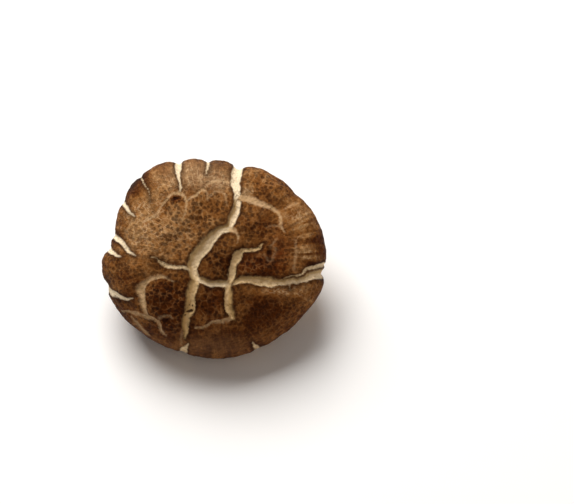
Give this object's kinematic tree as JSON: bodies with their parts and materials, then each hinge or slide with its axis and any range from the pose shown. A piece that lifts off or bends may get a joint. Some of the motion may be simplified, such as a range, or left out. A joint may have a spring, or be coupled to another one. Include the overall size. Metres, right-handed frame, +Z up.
{
  "type": "dried shiitake mushroom",
  "caption": "Whole dried shiitake mushroom with a cracked domed cap, a rolled wavy margin, gills beneath and a short bent stem, resting on its margin and its stem.",
  "frame": {"origin": "centre of the mushroom's bounding box, on the surface that it rests on", "axes": "+Z up, +X along the cap's greatest width, +Y up the slope of the leaning cap and away from its low front edge"},
  "size_m": [0.05, 0.0418, 0.0305],
  "materials": {
    "cap_skin": "matt dried skin, dark brown plates with cream and tan fissures",
    "gills": "matt golden gills",
    "stem": "matt fibrous brown"
  },
  "bodies": {
    "root": {"mushroom": "cap_skin"}
  },
  "joints": []
}
